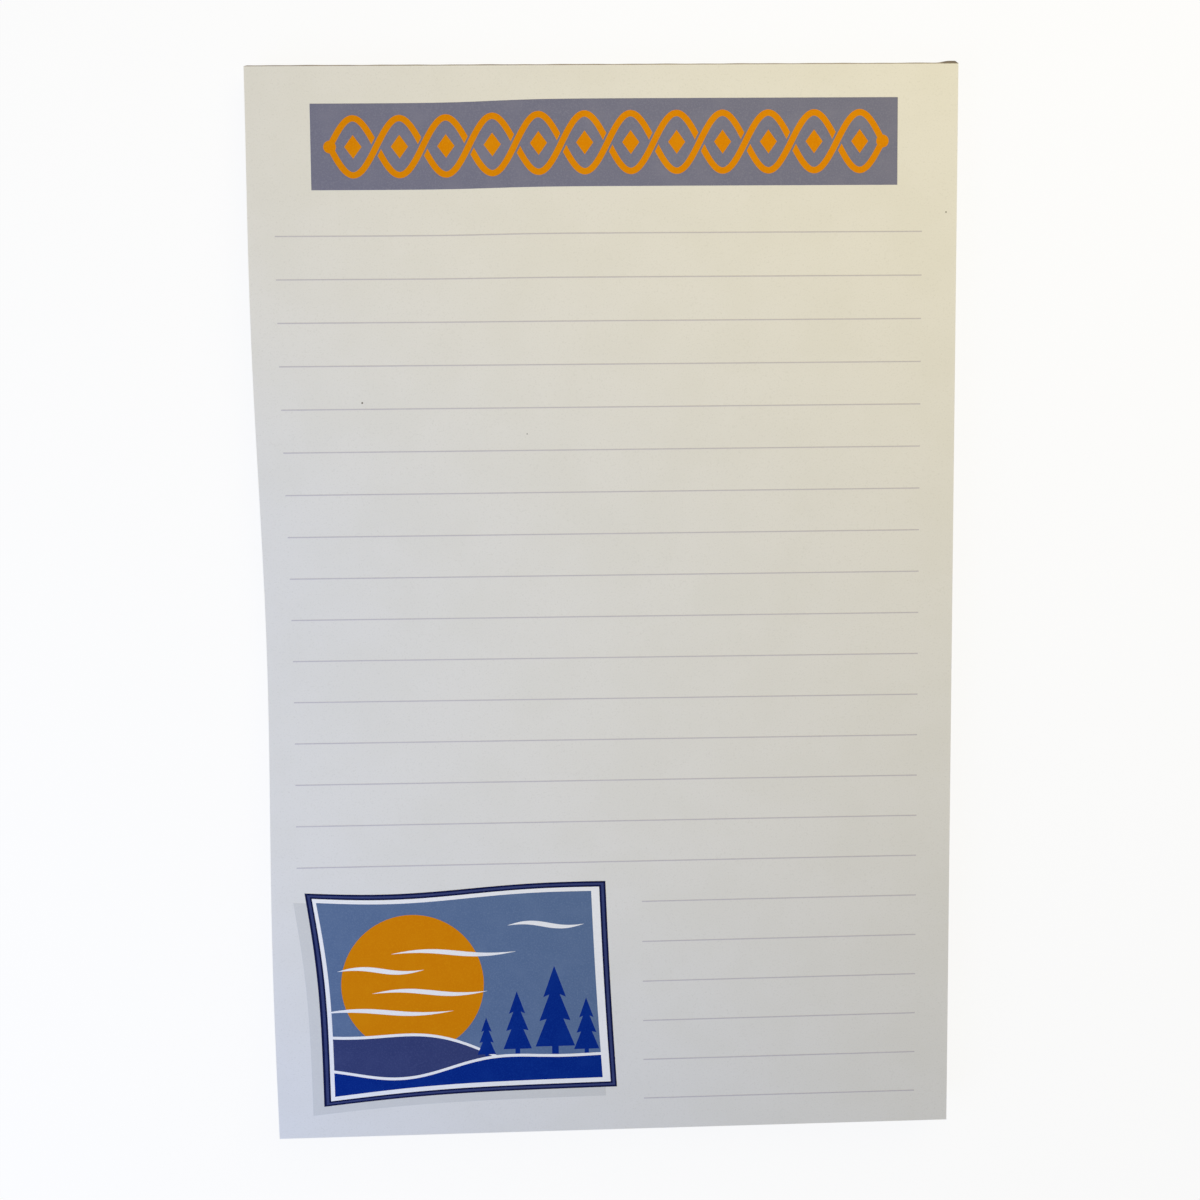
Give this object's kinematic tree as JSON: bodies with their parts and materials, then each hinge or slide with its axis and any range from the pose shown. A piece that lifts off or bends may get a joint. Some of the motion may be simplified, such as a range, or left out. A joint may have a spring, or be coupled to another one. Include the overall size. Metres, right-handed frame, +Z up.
{
  "type": "legal pad",
  "caption": "Small upright writing pad, glued along the head, with ruled leaves on a chipboard back and the foot of the leaves sprung up.",
  "frame": {"origin": "middle of the pad's outline, on the surface that it rests on", "axes": "+X to the right of the page, +Y towards the glued head, +Z up out of the page"},
  "size_m": [0.1396, 0.2164, 0.0111],
  "materials": {
    "paper": "matt, uncoated",
    "chipboard": "matt, flecked",
    "padding_glue": "satin, rubbery"
  },
  "bodies": {
    "root": {"sheet_block": "paper", "backing_board": "chipboard", "glue_binding": "padding_glue"}
  },
  "joints": []
}
